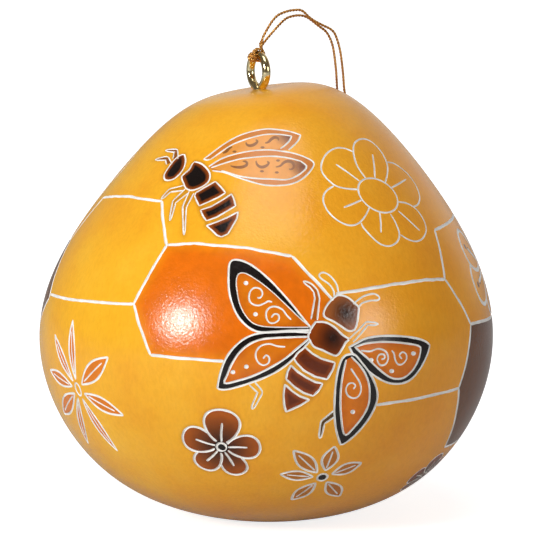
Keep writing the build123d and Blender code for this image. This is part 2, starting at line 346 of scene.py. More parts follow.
# bee from above, on a sheet of about fortieths of a millimetre read downwards; each wing is a rim and a field
aboveBee = dict(
    wings=[([(690, 530), (640, 470), (560, 370), (480, 278), (400, 195), (310, 120), (240, 80), (185, 66),
             (150, 72), (133, 100), (128, 170), (130, 260), (145, 340), (180, 430), (225, 492), (285, 540),
             (350, 560), (440, 556), (560, 549), (690, 545)],
            [(690, 530), (610, 460), (520, 373), (420, 280), (330, 210), (255, 164), (215, 156), (190, 172),
             (181, 220), (188, 290), (205, 370), (240, 440), (290, 495), (350, 518), (430, 525), (560, 527),
             (690, 526)]),
           ([(690, 562), (560, 556), (440, 560), (350, 566), (290, 580), (225, 612), (160, 670), (110, 740),
             (75, 830), (55, 925), (62, 948), (130, 948), (270, 908), (400, 858), (500, 800), (590, 722),
             (690, 612)],
            [(690, 590), (560, 594), (430, 600), (350, 610), (270, 642), (200, 702), (150, 780), (120, 850),
             (102, 908), (200, 888), (300, 856), (420, 798), (520, 735), (600, 668), (690, 592)]),
           ([(950, 662), (1000, 635), (1060, 604), (1150, 587), (1250, 585), (1350, 592), (1440, 610),
             (1492, 638), (1498, 660), (1480, 720), (1440, 800), (1390, 865), (1340, 900), (1280, 912),
             (1210, 903), (1130, 862), (1050, 796), (985, 722), (950, 662)],
            [(990, 662), (1060, 638), (1150, 627), (1250, 628), (1350, 638), (1420, 652), (1438, 672),
             (1425, 740), (1390, 810), (1340, 860), (1290, 878), (1230, 868), (1160, 818), (1080, 742),
             (1020, 690), (990, 662)]),
           ([(930, 715), (900, 745), (872, 830), (857, 930), (850, 1030), (850, 1120), (860, 1220),
             (885, 1308), (902, 1326), (960, 1288), (1030, 1220), (1090, 1140), (1130, 1060), (1144, 990),
             (1130, 920), (1092, 842), (1040, 772), (985, 712), (930, 715)],
            [(930, 748), (907, 850), (894, 950), (891, 1060), (898, 1160), (910, 1238), (930, 1260),
             (980, 1213), (1040, 1138), (1080, 1060), (1090, 980), (1084, 910), (1058, 840), (1018, 782),
             (965, 728)])],
    curls=[[(325, 325), (345, 325), (360, 298), (345, 266), (305, 258), (275, 285), (268, 330), (285, 364),
            (330, 378), (375, 362), (400, 349), (425, 355)],
           [(420, 460), (440, 437), (468, 442), (470, 475), (440, 497), (405, 493), (386, 460), (387, 420),
            (412, 391), (450, 386), (495, 406), (525, 445), (555, 475)],
           [(365, 740), (384, 716), (405, 735), (400, 770), (365, 785), (330, 765), (313, 720), (326, 675),
            (360, 648), (410, 640), (460, 655), (515, 660)],
           [(1170, 745), (1192, 737), (1186, 712), (1155, 714), (1141, 748), (1162, 784), (1198, 777),
            (1216, 737), (1200, 692), (1150, 673), (1090, 690), (1030, 685)],
           [(1310, 742), (1293, 718), (1313, 696), (1338, 710), (1340, 745), (1312, 778), (1282, 778),
            (1263, 745), (1255, 705), (1240, 685)],
           [(978, 947), (993, 926), (975, 907), (945, 914), (928, 950), (940, 990), (975, 1009), (1010, 1000),
            (1030, 960), (1025, 910), (1000, 865), (962, 808)]],
    dots=[(247, 225), (312, 438), (250, 795), (158, 832), (1100, 750), (1240, 825), (1388, 705), (975, 1103)],
    legs=[([(712, 475), (733, 330), (722, 280), (690, 243), (638, 213)], 0.52, "rust"),
          ([(285, 905), (345, 968), (288, 1085)], 0.5, None), ([(855, 1110), (770, 1175), (750, 1285)],
                                                               0.46, "band"),
          ([(965, 615), (1020, 560), (1072, 500), (1150, 505)], 0.42, None)],
    feelers=[[(880, 302), (862, 230), (820, 176), (775, 153), (745, 170), (760, 195), (815, 235), (845, 280),
              (848, 322)],
             [(978, 368), (1040, 320), (1110, 298), (1152, 316), (1150, 340), (1090, 346), (1040, 362),
              (1016, 388)]],
    bands=[[(650, 662), (700, 706), (760, 740), (855, 768), (840, 815), (800, 882), (720, 864), (640, 820),
            (585, 762), (575, 738), (600, 700), (650, 662)],
           [(552, 785), (600, 830), (660, 870), (720, 900), (770, 910), (745, 955), (705, 995), (640, 974),
            (580, 935), (520, 880), (530, 830), (552, 785)],
           [(512, 915), (560, 960), (610, 995), (680, 1020), (620, 1058), (520, 1103), (508, 1060),
            (503, 990), (512, 915)]],
    thorax=[(722, 490), (790, 493), (850, 526), (905, 578), (948, 608), (925, 632), (905, 670), (866, 719),
            (815, 705), (765, 681), (710, 659), (685, 622), (671, 588), (688, 540), (722, 490)],
    head=[(850, 322), (876, 306), (930, 318), (970, 345), (1000, 375), (1016, 390), (1012, 440), (1004, 500),
          (984, 545), (945, 551), (910, 530), (850, 490), (792, 462), (776, 440), (786, 400), (816, 355),
          (850, 322)])


# from that sheet to millimetres round the bee's middle, upwards
def drawn(points, middle=(800, 600), scale=0.0246):
    return (np.asarray(points, float) - middle) * [scale, -scale]


def beeAbove(lay):
    ink, bee = beeInk, aboveBee
    for points, half, fill in bee["legs"]:
        outline = limb(drawn(points), half, 0.5)
        if fill is not None:
            stain(outline, lay, ink[fill], amount=0.9)
        carve(outline, lay, 0.85, step=0.36)
    for rim, field in bee["wings"]:
        rim, field = smoothLine(drawn(rim)), smoothLine(drawn(field))
        stain(rim, lay, ink["band"], covers=True)
        stain(field, lay, ink["orange"], ink["field"], 0.7)
        carve(rim, lay)
        carve(field, lay)
    for points in bee["curls"]:
        carve(smoothLine(drawn(points)), lay, 0.85, step=0.26)
    for point in bee["dots"]:
        pits.append(lay(oval(*drawn(point), 0.4, 0.36)[:-1:4]))
    for points in bee["feelers"]:
        carve(smoothLine(drawn(points)), lay, 0.9, step=0.3)
    for points in bee["bands"]:
        stain(drawn(points), lay, ink["brown"], ink["rust"], 1.3, covers=True)
        carve(drawn(points), lay, halo=0.5)
    for part, dark, edge, core in (("thorax", tone(36, 13, 5), tone(150, 66, 8), (840, 600)),
                                   ("head", tone(40, 22, 16), tone(172, 94, 36), (930, 430))):
        outline = smoothLine(drawn(bee[part]))
        stain(outline, lay, dark, edge, 3.1, core=drawn(core), covers=True)
        carve(outline, lay, halo=0.5)


# crossing test of many points against one outline
def inside(points, outline):
    x, y = points[:, 0:1], points[:, 1:2]
    x1, y1 = outline[:, 0], outline[:, 1]
    x2, y2 = np.roll(x1, -1), np.roll(y1, -1)
    with np.errstate(divide="ignore", invalid="ignore"):
        crossing = ((y1 > y) != (y2 > y)) & (x < (x2 - x1) * (y - y1) / (y2 - y1) + x1)
    return crossing.sum(1) % 2 == 1


petalForm = dict(open=158, egg=0.26, under=1.9, fade=0.95)


# blossom of round petals: egg outlines from an oval middle, each tucked under the petals drawn before it
def roundBlossom(lay, petals, middle, heart=None, petalInk=None, dotInk=None, line=0.8, halo=0.0, rib=0.62):
    a, b, spin = middle
    ring = oval(0.0, 0.0, a, b, spin)
    shapes = []
    for angle, length, wide in petals:
        turn = math.radians(angle - spin)
        start = a * b / math.hypot(b * math.cos(turn), a * math.sin(turn))
        half = (length - start) / 2
        s = np.radians(np.linspace(-petalForm["open"], petalForm["open"], 90))
        swell = 1 + petalForm["egg"] * np.cos(s)
        egg = np.stack([start + half * (1 + np.cos(s)), wide / 2 * np.sin(s) * swell], -1)
        shapes.append((spun(egg, angle), angle, start, half))
    if petalInk is not None:
        stain(oval(0.0, 0.0, a * petalForm["under"], b * petalForm["under"], spin), lay, petalInk[0])
        for outline, angle, start, half in shapes:
            stain(outline, lay, *petalInk, (start + 2 * half) * petalForm["fade"], core=(0.0, 0.0))
    for k, (outline, angle, start, half) in enumerate(shapes):
        hidden = inside(outline, ring)
        for earlier in shapes[:k]:
            hidden |= inside(outline, earlier[0])
        shown = np.nonzero(~hidden)[0]
        for run in np.split(shown, np.nonzero(np.diff(shown) > 1)[0] + 1):
            if len(run) > 6:
                carve(outline[run], lay, line, halo=halo)
        stroke = [[start + 0.25, 0.0], [start + half * rib, 0.05], [start + 2 * half * rib, -0.05]]
        carve(smoothLine(spun(np.array(stroke), angle)), lay, line * 0.9)
        if dotInk is not None:
            for away in (0.8, 1.15, 1.5):
                stain(spun(oval(start + half * away, 0.0, 0.62, 0.5), angle), lay, dotInk, amount=0.85)
    if heart is not None:
        stain(ring, lay, heart)
    carve(ring, lay, line)


# plain blossom: petal lines and ribs round an oval middle, without colour
def plainBlossom(lay, petals, ribs, ring):
    for points in petals:
        carve(smoothLine(points), lay, 0.9)
    for (x1, y1), (x2, y2) in ribs:
        carve([(x1, y1), ((x1 + x2) / 2 + 0.08, (y1 + y2) / 2), (x2, y2)], lay, 0.9)
    carve(ring, lay, 0.9)


# blossom of pointed petals round a small middle, each with a rib
def pointedBlossom(lay, petals, gap, petalInk, amount, middle, heart=None):
    for angle, length, wide in petals:
        root, tip = spun(np.array([[gap, 0.0], [length, 0.0]]), angle)
        edges = leafEdges(root, tip, wide / 2)
        stain(np.concatenate([edges[0], edges[1][::-1]]), lay, petalInk, amount=amount)
        for edge in edges:
            carve(edge, lay, 1.2)
        carve(smoothLine([root + (tip - root) * share for share in (0.12, 0.45, 0.8)]), lay, 0.8)
    ring = oval(0.0, 0.0, *middle)
    if heart is not None:
        stain(ring, lay, heart)
    carve(ring, lay, 1.1, step=0.3)


cellInk = dict(orange=tone(238, 112, 2), orangeRim=tone(246, 142, 10), brown=tone(88, 40, 20),
               brownRim=tone(72, 31, 16))
comb = dict(width=1.5, tremble=0.0009, step=0.011, reach=2.2)


# comb walls run straight on the unrolled gourd from corner to corner, with a faint tremble
def combWall(*corners):
    t = np.linspace(0, 1, 24, endpoint=False)[:, None]
    tremble = comb["tremble"] * np.sin(4 * np.pi * t)
    runs = [start * (1 - t) + end * t + tremble for start, end in zip(corners, corners[1:])]
    carve(np.concatenate([*runs, corners[-1:]]), lambda points: points, comb["width"], step=comb["step"])


def combCell(corners, ink, amount):
    ends = np.array([*corners, corners[0]])
    stains.append(dict(path=evenly(ends, comb["step"])[:-1], inner=cellInk[ink], outer=cellInk[ink + "Rim"],
                       reach=comb["reach"], core=None, amount=amount, covers=False))


# front corners are read off the sheet, the rest go on round the sides and the back
front = onFront([(-27.3, 17.85), (-17.55, 17.2), (-16.73, 9.85), (4.22, 8.01), (11.2, 0.6), (-22.26, -0.04),
                 (-19.41, -8.59), (-7.2, -9.6), (-36.2, 1.6), (11.7, 1.7), (29.87, 4.15), (28.2, 12.37),
                 (-25.5, 18.02), (34.23, -3.39), (32.22, -14.12), (29.87, -24.0), (18.5, -16.95), (9.0, -4.5),
                 (-2.0, -9.6), (-12.2, 10.15), (-3.7, 9.45), (-23.1, 18.02), (20.8, 3.2), (26.4, 4.0)])
right = [place(*spot) for spot in ((98, 33.2), (108, 24.0), (100, 13.5), (122, 50.5), (118, 41.0))]
left = [place(*spot) for spot in ((-76.6, 38.5), (-85, 48.0), (-119, 48.5), (-132, 39.0), (-122, 29.5),
                                  (-90, 30.0))]
rear = [place(*spot) for spot in ((155, 39.5), (168, 48.5), (200, 48.0), (212, 39.0), (200, 29.5),
                                  (168, 30.0))]
onceRound = np.array([2 * np.pi, 0.0])
combCell(front[[2, 19, 20, 3, 4, 17, 18, 7, 6, 5]], "orange", 0.97)
combCell([front[13], *right[:3], front[15], front[14]], "brown", 0.93)
combCell(left, "brown", 0.93)
combCell(rear, "orange", 0.97)
frontWalls = ((0, 12, 21, 1, 2, 19, 20, 3, 4), (2, 5, 6, 7), (8, 5), (9, 22, 23, 10, 11), (10, 13, 14, 15),
              (16, 14))
for corners in (*(front[list(path)] for path in frontWalls), (front[13], *right[:3], front[15]),
                (front[11], right[3], right[4], right[0]), (right[4], rear[0]), (right[1], place(140, 22.5)),
                (*left, left[0]), (front[0], left[1]), (left[2], place(-118, 57.0)),
                (left[3] + onceRound, rear[3]), (left[4], place(-112, 19.0)), (*rear, rear[0]),
                (right[3], place(120, 58.0)), (rear[1], place(160, 57.5)), (rear[4], place(206, 20.0))):
    combWall(*corners)

beeSide(moved(onFront, -11.87, 21.42))
beeAbove(moved(onFront, 10.15, -5.74))
plainPetals = [[(-4.1, 7.3), (-5.6, 7.9), (-7.2, 7.9), (-8.7, 6.9), (-9.5, 5.2), (-9.2, 3.6), (-7.4, 1.8),
                (-5.6, 1.2), (-3.3, 1.0)],
               [(-2.1, 2.9), (-3.5, 5.0), (-4.1, 7.2), (-3.9, 8.8), (-2.6, 9.5), (-1.1, 9.0), (0.5, 7.4),
                (1.5, 5.4), (1.6, 3.8), (1.2, 2.0)],
               [(1.5, 5.6), (2.8, 5.3), (4.8, 3.8), (6.3, 1.8), (7.0, -0.2), (6.7, -1.5), (5.9, -1.9)],
               [(3.4, -1.1), (4.8, -1.3), (6.4, -2.3), (7.6, -4.0), (8.1, -5.8), (7.5, -7.2), (6.4, -7.7),
                (5.1, -7.4), (3.8, -6.6)],
               [(2.1, -3.1), (3.0, -4.7), (3.6, -6.5), (3.2, -7.8), (1.9, -8.5), (0.3, -8.1), (-1.3, -6.7),
                (-2.5, -5.3), (-2.8, -4.6)],
               [(-7.4, 1.6), (-8.7, 0.7), (-9.2, -0.7), (-8.5, -2.5), (-6.9, -4.1), (-4.9, -5.0),
                (-3.3, -4.7), (-2.1, -3.4), (-1.4, -1.9)]]
plainRibs = [[(-3.1, 2.4), (-7.0, 5.2)], [(-0.5, 2.9), (-0.9, 6.9)], [(2.3, 1.3), (4.7, 2.7)],
             [(3.4, -2.6), (7.0, -5.9)], [(0.3, -2.9), (0.5, -6.2)], [(-2.6, -0.7), (-5.7, -2.0)]]
plainBlossom(moved(onFront, 18.68, 18.17), plainPetals, plainRibs, oval(0.0, 0.0, 3.7, 2.4, -35))
pointedBlossom(glued(-54.7, 24.8), [(97, 11.6, 1.7), (131, 11.0, 1.8), (170, 10.4, 2.2), (-148, 11.6, 2.8),
                                    (-113, 12.6, 1.7), (-66, 12.6, 1.9), (-18, 10.8, 2.4), (37, 10.6, 2.9)],
               1.7, tone(232, 124, 10), 0.95, (0.7, 1.1, 20))
roundBlossom(glued(-12.0, 17.4), [(84, 6.7, 5.4), (163, 6.4, 4.6), (1, 6.2, 4.4), (-133, 6.4, 4.3),
                                  (-67, 6.5, 4.2)],
             (0.8, 0.8, 0), tone(16, 11, 10), (tone(18, 6, 3), tone(184, 90, 6)), line=1.25, halo=0.5)
pointedBlossom(glued(16.4, 11.7), [(131, 7.8, 2.4), (82, 6.4, 2.5), (24, 6.6, 2.3), (-52, 8.0, 2.8),
                                   (-124, 8.0, 2.7), (171, 7.0, 2.1)],
               1.6, tone(170, 88, 30), 0.75, (0.85, 0.85, 0), tone(18, 12, 11))
roundBlossom(glued(88.0, 41.4), [(150, 10.6, 6.8), (193, 11.2, 6.6), (72, 10.4, 7.4), (14, 10.6, 7.6),
                                 (246, 8.0, 6.2), (304, 8.2, 6.4)],
             (2.4, 2.2, 0), dotInk=tone(72, 32, 18), line=2.0)
roundBlossom(glued(65.0, 8.8), [(100 + 72 * k, 4.9, 3.9) for k in range(5)], (0.7, 0.7, 0), tone(20, 14, 13),
             (tone(34, 12, 6), tone(150, 66, 12)), halo=0.2)

# hidden sides, the same kinds of figures
beeAbove(moved(glued(176.0, 38.0), 0.0, 3.0, 54))
roundBlossom(glued(-106.0, 60.0), [(70 + 60 * k, 9.6, 7.4) for k in range(6)], (2.6, 2.3, 20))
pointedBlossom(glued(139.0, 55.0), [(90 + 45 * k, 9.8, 2.0) for k in range(8)], 1.7, tone(232, 124, 10),
               0.95, (0.7, 0.9, 0))
roundBlossom(glued(-100.0, 15.0), [(90 + 72 * k, 6.6, 5.2) for k in range(5)], (0.8, 0.8, 0),
             tone(16, 11, 10), (tone(30, 9, 3), tone(198, 106, 12)), halo=0.5)
pointedBlossom(glued(-146.0, 16.0), [(60 * k, 7.8, 2.4) for k in range(6)], 1.6, tone(170, 88, 30),
               0.75, (0.85, 0.85, 0), tone(18, 12, 11))
pointedBlossom(glued(130.0, 14.0), [(20 + 45 * k, 9.6, 2.1) for k in range(8)], 1.7, tone(232, 124, 10),
               0.95, (0.7, 0.9, 0))
print("drawing:", len(lines), "carved runs,", len(stains), "stained areas")


# both edges of a run at a width that wavers a little and narrows at both ends
def stripOutline(run, share=1.0, grow=0.0, trim=0):
    path, n = run["path"], len(run["path"])
    knots = np.arange(0, n + 4, 2)
    waver = np.interp(np.arange(n), knots, run["wavers"][:len(knots)])
    ends = np.minimum(1.0, (np.minimum(np.arange(n), np.arange(n)[::-1]) + 1.3) / 2.0)
    half = (run["width"] * share * waver * ends + grow) / 2 / radiusOf(path[:, 1])
    return bothSides(path, -half[:, None]).reshape(2, n, 2)[:, trim:n - trim].reshape(-1, 2)


def anticlockwise(outline):
    x, y = outline.T
    area = (x * np.roll(y, -1) - np.roll(x, -1) * y).sum()
    return outline if area > 0 else outline[::-1]


# parts of a line that lie under an area drawn later are left out, all but one point at each cut
def uncovered(run):
    shown = np.ones(len(run["path"]), bool)
    for spot in stains[run["order"]:]:
        if spot["covers"] and (run["path"].max(0) > spot["path"].min(0)).all() and \
                (run["path"].min(0) < spot["path"].max(0)).all():
            shown &= ~inside(run["path"], spot["path"])
    grown = shown.copy()
    grown[1:] |= shown[:-1]
    grown[:-1] |= shown[1:]
    at = np.nonzero(grown)[0]
    parts = np.split(at, np.nonzero(np.diff(at) > 1)[0] + 1)
    return [dict(run, path=run["path"][part]) for part in parts if len(part) > 3]


lines = list(chain.from_iterable(uncovered(run) for run in lines))
for run in lines:
    run["wavers"] = 1 + carving["ragged"] * dice.uniform(-1, 1, len(run["path"]) + 6)
groove, floor, halo, area = 0, 1, 2, 3
sheets = []    # (outline, kind, index)
for index, run in enumerate(lines):
    sheets.append((stripOutline(run), groove, index))
    if len(run["path"]) > 4:
        sheets.append((stripOutline(run, carving["floorShare"], 0.0, 1), floor, index))
    if run["halo"]:
        sheets.append((stripOutline(run, 1.0, 2 * carving["haloReach"]), halo, index))
for outline in pits:
    middle = outline.mean(0)
    sheets.append((outline, groove, 0))
    sheets.append((middle + (outline - middle) * carving["pitFloor"], floor, 0))
for index, spot in enumerate(stains):
    sheets.append((spot["path"], area, index))
for outline, kind, index in list(sheets):    # what crosses the seam at the back is repeated on its other side
    for jump, over in ((-2 * np.pi, outline[:, 0].max() > np.pi), (2 * np.pi, outline[:, 0].min() < -np.pi)):
        if over:
            sheets.append((outline + [jump, 0.0], kind, index))

# marked squares hold no free points, so that no thin triangles stand beside a line
riseLow, riseHigh = float(riseOf(flatAngle)), float(riseOf(scarAngle))
square = 0.011
marked = np.zeros((int(3 * np.pi / square) + 4, int((riseHigh - riseLow) / square) + 4), bool)


def squareOf(points):
    i = ((points[:, 0] + 1.5 * np.pi) / square).astype(int)
    j = ((points[:, 1] - riseLow) / square).astype(int)
    return np.clip(i, 1, marked.shape[0] - 2), np.clip(j, 1, marked.shape[1] - 2)


def mark(points, reach):
    i, j = squareOf(points)
    for di in range(-reach, reach + 1):
        for dj in range(-reach, reach + 1):
            marked[np.clip(i + di, 0, marked.shape[0] - 1), np.clip(j + dj, 0, marked.shape[1] - 1)] = True


for outline, kind, index in sheets:
    mark(outline, 1)

# extra points inside areas whose colour runs, then rings of points over the whole skin
loose = []
for spot in stains:
    if spot["reach"] and np.ptp(spot["path"][:, 0]) < carving["fillWidest"]:
        low, high = spot["path"].min(0), spot["path"].max(0)
        gap = carving["fillStep"] / radiusOf((low[1] + high[1]) / 2)
        grid = np.stack(np.meshgrid(np.arange(low[0], high[0], gap),
                                    np.arange(low[1], high[1], gap * carving["rowShare"])), -1)
        grid[1::2, :, 0] += gap / 2
        grid = grid.reshape(-1, 2)
        grid = grid[inside(grid, spot["path"])]
        grid = grid[~marked[squareOf(grid)]]
        loose.append(grid)
        mark(grid, 2)
ringLengths = np.interp([flatAngle, scarAngle], angles, lengths)
ringCount = int(np.ptp(ringLengths) / (carving["gridStep"] * carving["rowShare"]))
ringRises = np.interp(np.linspace(*ringLengths, ringCount), lengths, rises)
ringRises[0], ringRises[-1] = riseLow, riseHigh
rims = []
for k, rise in enumerate(ringRises):
    count = max(16, int(2 * np.pi * radiusOf(rise) / carving["gridStep"]))
    if k in (0, ringCount - 1):
        turns = np.linspace(-np.pi, np.pi, count + 1)
        rims.append(np.stack([turns, np.full(count + 1, rise)], -1))
    else:
        turns = -np.pi + 2 * np.pi * (np.arange(count - 1) + 1.0 - 0.5 * (k % 2)) / count
        row = np.stack([turns, np.full(len(turns), rise)], -1)
        row = row[~marked[squareOf(row)]]
        loose.append(row[np.abs(row[:, 0]) < np.pi - carving["seamGap"] / radiusOf(rise)])
seamRight = np.stack([np.full(ringCount - 2, np.pi), ringRises[1:-1]], -1)
border = np.concatenate([rims[0], seamRight, rims[1][::-1], (seamRight * [-1, 1])[::-1]])
loose = np.concatenate(loose)
loose = loose[np.abs(loose[:, 0]) < np.pi - 0.002]

outlines = [anticlockwise(outline) for outline, kind, index in sheets]
counts = np.array([len(outline) for outline in outlines])
firsts = np.concatenate([[0], np.cumsum(counts)])
allPoints = np.concatenate(outlines + [border, loose])
edgeStart = int(firsts[-1])
borderEdges = [(edgeStart + k, edgeStart + (k + 1) % len(border)) for k in range(len(border))]
inFaces = [list(range(a, b)) for a, b in zip(firsts[:-1].tolist(), firsts[1:].tolist())]
print("triangulating", len(allPoints), "points,", len(inFaces), "outlines")
flatVerts, _, flatFaces, _, _, owners = delaunay_2d_cdt(
    [Vector(p) for p in allPoints.tolist()], borderEdges, inFaces, 0, carving["snap"], True)
flat = np.array([v[:] for v in flatVerts])
faces = np.array(flatFaces)
print("skin net:", len(flat), "points,", len(faces), "triangles")

ownerCount = np.fromiter(map(len, owners), int, len(owners))
ownerSheet = np.fromiter(chain.from_iterable(owners), int, ownerCount.sum())
ownerFace = np.repeat(np.arange(len(faces)), ownerCount)
sheetKind = np.array([kind for outline, kind, index in sheets])
sheetIndex = np.array([index for outline, kind, index in sheets])


# triangles that lie in any outline of one kind
def owned(kind):
    own = np.zeros(len(faces), bool)
    own[ownerFace[sheetKind[ownerSheet] == kind]] = True
    return own


isFloor, isHalo = owned(floor), owned(halo)
isGroove = owned(groove) | isFloor
faceStain = np.full(len(faces), -1)
coloured = sheetKind[ownerSheet] == area
np.maximum.at(faceStain, ownerFace[coloured], sheetIndex[ownerSheet[coloured]])
middle = flat[faces].mean(1)
keep = (np.abs(middle[:, 0]) < np.pi) & (middle[:, 1] > riseLow) & (middle[:, 1] < riseHigh)
faces, isGroove, isFloor, isHalo, faceStain = (
    each[keep] for each in (faces, isGroove, isFloor, isHalo, faceStain))

# a point is deep where a floor meets no skin, half deep on a wall that crosses another, level elsewhere
onFloor, onSkin = np.zeros(len(flat), bool), np.zeros(len(flat), bool)
onFloor[faces[isFloor]] = True
onSkin[faces[~isGroove]] = True
deep = np.where(onSkin, 0.0, np.where(onFloor, 1.0, 0.5))
# scorched glow beside a line: falls from the line's edge to nothing at the halo's reach
haloAt = np.zeros(len(flat))
nearLine = np.unique(faces[isHalo])
for run in lines:
    if run["halo"]:
        reach = carving["haloReach"] + run["width"] / 2
        size = radiusOf(run["path"][:, 1].mean())
        low, high = run["path"].min(0) - reach / size, run["path"].max(0) + reach / size
        own = nearLine[((flat[nearLine] > low) & (flat[nearLine] < high)).all(1)]
        away = np.sqrt(((flat[own][:, None] - run["path"][None]) ** 2).sum(-1)).min(1) * size
        fall = np.clip((reach - away) / carving["haloReach"], 0, 1) * run["halo"]
        haloAt[own] = np.maximum(haloAt[own], fall)

seam = np.pi - 1e-5
turnAt, angleAt = flat[:, 0].copy(), angleOf(flat[:, 1])
turnAt[turnAt > seam] = -np.pi
skin = gourdPoint(turnAt, angleAt) - gourdNormal(turnAt, angleAt) * (deep * carving["depth"])[:, None]

# the seam: each point at the right edge is the one at the same rise on the left edge
rightEdge = np.nonzero(flat[:, 0] > seam)[0]
leftEdge = np.nonzero(flat[:, 0] < -seam)[0]
rightEdge, leftEdge = (e[flat[e, 1].argsort()] for e in (rightEdge, leftEdge))
partner = leftEdge[np.abs(flat[rightEdge, 1][:, None] - flat[leftEdge, 1][None]).argmin(1)]
sameAs = np.arange(len(flat))
sameAs[rightEdge] = partner
faces = sameAs[faces]

# colours at the corners of each triangle: stains first, cut lines over them
corner = np.zeros((len(faces), 3, 4))
for index, spot in enumerate(stains):
    own = np.nonzero((faceStain == index) & ~isGroove)[0]
    if len(own) == 0:
        continue
    ends = skin[faces[own]].reshape(-1, 3)
    if spot["core"] is not None:
        core = gourdPoint(spot["core"][0], angleOf(spot["core"][1]))
        away = np.linalg.norm(ends - core, axis=1) / spot["reach"]
    elif spot["reach"]:
        rim = gourdPoint(spot["path"][:, 0], angleOf(spot["path"][:, 1]))
        away = 1 - np.sqrt(((ends[:, None] - rim[None]) ** 2).sum(-1)).min(1) / spot["reach"]
    else:
        away = np.zeros(len(ends))
    away = np.clip(away, 0, 1)[:, None] ** carving["fade"]
    colour = spot["inner"] * (1 - away) + spot["outer"] * away
    corner[own] = np.concatenate([colour, np.full((len(ends), 1), spot["amount"])], 1).reshape(-1, 3, 4)
lip = (1 - deep[faces[isGroove]])[..., None] * carving["scorch"]
corner[isGroove, :, :3] = cream * (1 - lip) + burnt * lip
corner[isGroove, :, 3] = 1.0


# flat foot and stem scar: rings from the rim to the middle
def closeRim(rise, rings):
    rim = np.nonzero(np.abs(flat[:, 1] - rise) < 1e-5)[0]
    rim = rim[flat[rim, 0] < seam]
    rim = rim[flat[rim, 0].argsort()]
    centre = skin[rim].mean(0)
    t = np.linspace(0, 1, rings + 1)[1:-1, None, None]
    return rim, np.concatenate([(skin[rim] * (1 - t) + centre * t).reshape(-1, 3), centre[None]])


# two triangles for each square of a grid of point numbers that closes on itself
def gridFaces(rows):
    after = np.roll(rows, -1, 1)
    quads = np.stack([rows[:-1], after[:-1], after[1:], rows[1:]], -1).reshape(-1, 4)
    return np.concatenate([quads[:, [0, 1, 2]], quads[:, [0, 2, 3]]])


# triangles from a row of points to one pole
def fan(row, pole):
    return np.stack([row, np.roll(row, -1), np.full(len(row), pole)], -1)


def rimFaces(rim, start, rings):
    n, pole = len(rim), start + (rings - 1) * len(rim)
    rows = np.concatenate([rim[None], np.arange(start, pole).reshape(rings - 1, n)])
    return np.concatenate([gridFaces(rows), fan(rows[-1], pole)])


footRings, scarRings = 5, 3
foot, footPoints = closeRim(riseLow, footRings)
scar, scarPoints = closeRim(riseHigh, scarRings)
# inner wall of the hollow: the outside moved in by the wall
hollowNet = dict(sides=72, rings=56, start=0.16, end=2.98)
innerTurn, innerAngle = np.meshgrid(np.linspace(-np.pi, np.pi, hollowNet["sides"], endpoint=False),
                                    np.linspace(hollowNet["start"], hollowNet["end"], hollowNet["rings"]))
hollow = gourdPoint(innerTurn, innerAngle, gourdForm["wall"])
hollowEnds = hollow[[0, -1]].mean(1)
skinPoints = np.concatenate([skin, footPoints, scarPoints, hollow.reshape(-1, 3), hollowEnds])
scarStart = len(skin) + len(footPoints)
hollowStart = scarStart + len(scarPoints)
grid = hollowStart + np.arange(hollow[..., 0].size).reshape(hollow.shape[:2])
extraFaces = np.concatenate([rimFaces(foot, len(skin), footRings)[:, ::-1],
                             rimFaces(scar, scarStart, scarRings), gridFaces(grid)[:, ::-1],
                             fan(grid[0], len(skinPoints) - 2), fan(grid[-1], len(skinPoints) - 1)[:, ::-1]])
skinFaces = np.concatenate([faces, extraFaces])


# a mesh object at the origin from arrays in millimetres, loose points left out
def makePiece(name, points, polygons, material):
    used, order = np.unique(polygons, return_inverse=True)
    polygons = order.reshape(polygons.shape)
    mesh = bpy.data.meshes.new(name)
    mesh.from_pydata((points[used] * mm).tolist(), [], polygons.tolist())
    mesh.polygons.foreach_set("use_smooth", np.ones(len(mesh.polygons), bool))
    mesh.materials.append(material)
    piece = bpy.data.objects.new(name, mesh)
    bpy.context.scene.collection.objects.link(piece)
    return piece, used


# a node and its place in the links, made in one call
def node(tree, kind, inputs=None, **settings):
    made = tree.nodes.new(kind)
    for key, value in settings.items():
        setattr(made, key, value)
    for key, value in (inputs or {}).items():
        if isinstance(value, bpy.types.NodeSocket):
            tree.links.new(value, made.inputs[key])
        else:
            made.inputs[key].default_value = value
    return made


def newMaterial(name):
    material = bpy.data.materials.new(name)
    material.use_nodes = True
    tree = material.node_tree
    tree.nodes.clear()
    place = node(tree, "ShaderNodeMapping", {"Scale": (1000, 1000, 1000),
                                             "Vector": node(tree, "ShaderNodeTexCoord").outputs["Object"]})
    return material, tree, place.outputs["Vector"]


def rgba(colour):
    return (*[float(c) for c in colour], 1.0)


def mixed(tree, factor, one, two, blend="MIX"):
    return node(tree, "ShaderNodeMix", {0: factor, 6: one, 7: two},
                data_type="RGBA", blend_type=blend).outputs[2]


def reckoned(tree, operation, one, two):
    return node(tree, "ShaderNodeMath", {0: one, 1: two}, operation=operation).outputs[0]


def ranged(tree, value, low, high, start=0.0, end=1.0):
    return node(tree, "ShaderNodeMapRange", {"Value": value, "From Min": start, "From Max": end,
                                             "To Min": low,
                                             "To Max": high}).outputs["Result"]


def ramp(tree, source, stops):
    made = node(tree, "ShaderNodeValToRGB", {"Fac": source})
    for k, (place, colour) in enumerate(stops):
        stop = made.color_ramp.elements[k] if k < 2 else made.color_ramp.elements.new(place)
        stop.position, stop.color = place, rgba(colour)
    return made.outputs["Color"]


def noise(tree, place, scale, detail, rough=0.55):
    return node(tree, "ShaderNodeTexNoise", {"Vector": place, "Scale": scale, "Detail": detail,
                                             "Roughness": rough}).outputs["Fac"]


def bumped(tree, height, strength, distance):
    return node(tree, "ShaderNodeBump", {"Height": height, "Strength": strength,
                                         "Distance": distance}).outputs["Normal"]


